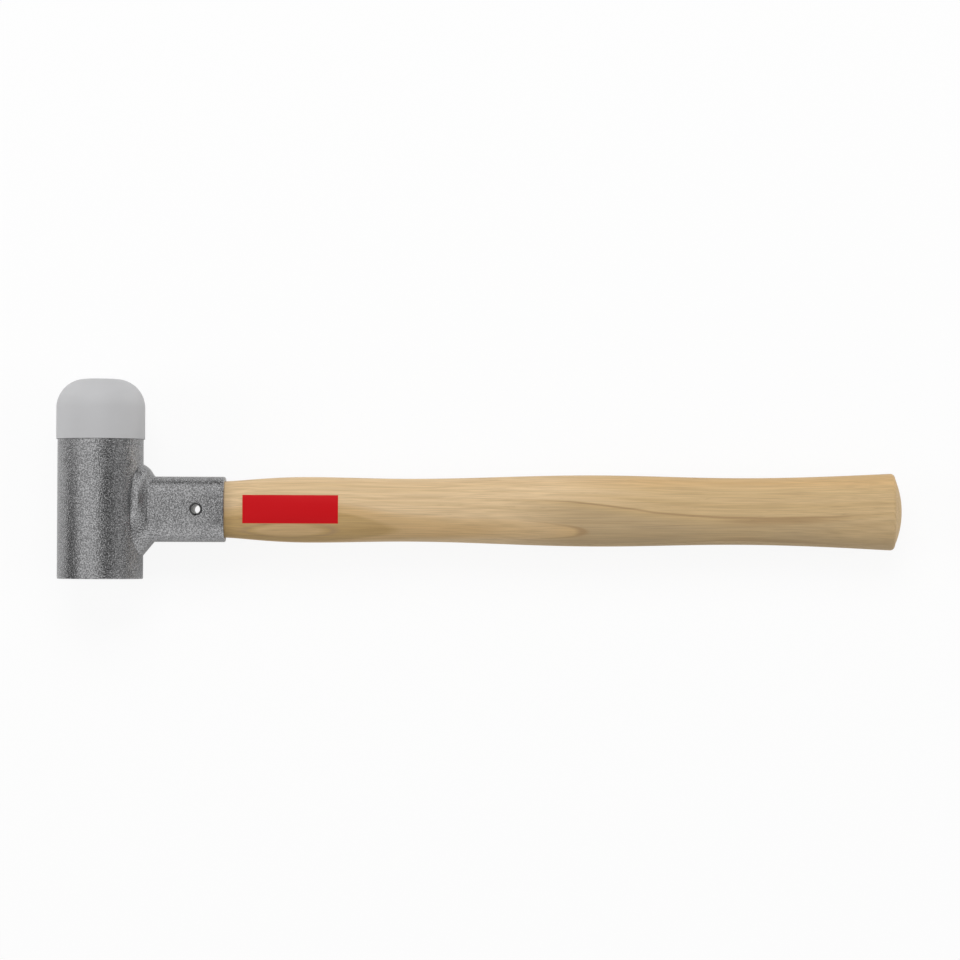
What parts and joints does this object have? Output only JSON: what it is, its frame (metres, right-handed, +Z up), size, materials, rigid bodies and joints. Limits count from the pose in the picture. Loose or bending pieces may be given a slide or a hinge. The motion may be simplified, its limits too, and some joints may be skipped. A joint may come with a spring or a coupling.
{
  "type": "dead blow hammer",
  "caption": "Dead blow hammer: shot-filled steel tube head with a rounded nylon face and a flat steel face, and a contoured wooden handle pinned in a welded oval socket.",
  "frame": {"origin": "centre of the flat steel striking face, on the head's axis", "axes": "+X along the handle from the head to the butt, +Y along the head's axis from the steel face to the nylon face, +Z up through the hammer's thickness as it lies on its side"},
  "size_m": [0.3742, 0.0884, 0.0392],
  "materials": {
    "grey_paint": "hammertone grey paint, satin",
    "bright_steel": "turned",
    "steel_shot": "tumbled",
    "spring_steel": "oiled dark",
    "grey_nylon": "matte",
    "hickory": "oiled, satin"
  },
  "bodies": {
    "hammer": {"head_tube": "grey_paint", "steel_face": "bright_steel", "chamber_disc": "bright_steel", "nylon_insert": "grey_nylon", "handle_socket": "grey_paint", "socket_weld": "grey_paint", "spring_pin": "spring_steel", "handle": "hickory"},
    "shot": {"shot_ball_01": "steel_shot", "shot_ball_02": "steel_shot", "shot_ball_03": "steel_shot", "shot_ball_04": "steel_shot", "shot_ball_05": "steel_shot", "shot_ball_06": "steel_shot", "shot_ball_07": "steel_shot", "shot_ball_08": "steel_shot", "shot_ball_09": "steel_shot", "shot_ball_10": "steel_shot", "shot_ball_11": "steel_shot", "shot_ball_12": "steel_shot", "shot_ball_13": "steel_shot", "shot_ball_14": "steel_shot", "shot_ball_15": "steel_shot", "shot_ball_16": "steel_shot", "shot_ball_17": "steel_shot", "shot_ball_18": "steel_shot", "shot_ball_19": "steel_shot", "shot_ball_20": "steel_shot", "shot_ball_21": "steel_shot", "shot_ball_22": "steel_shot", "shot_ball_23": "steel_shot", "shot_ball_24": "steel_shot", "shot_ball_25": "steel_shot", "shot_ball_26": "steel_shot"}
  },
  "joints": [
    {"name": "shot_slide", "type": "slide", "parent": "hammer", "child": "shot", "axis": [0, 1, 0], "range_m": [0, 0.009]}
  ]
}
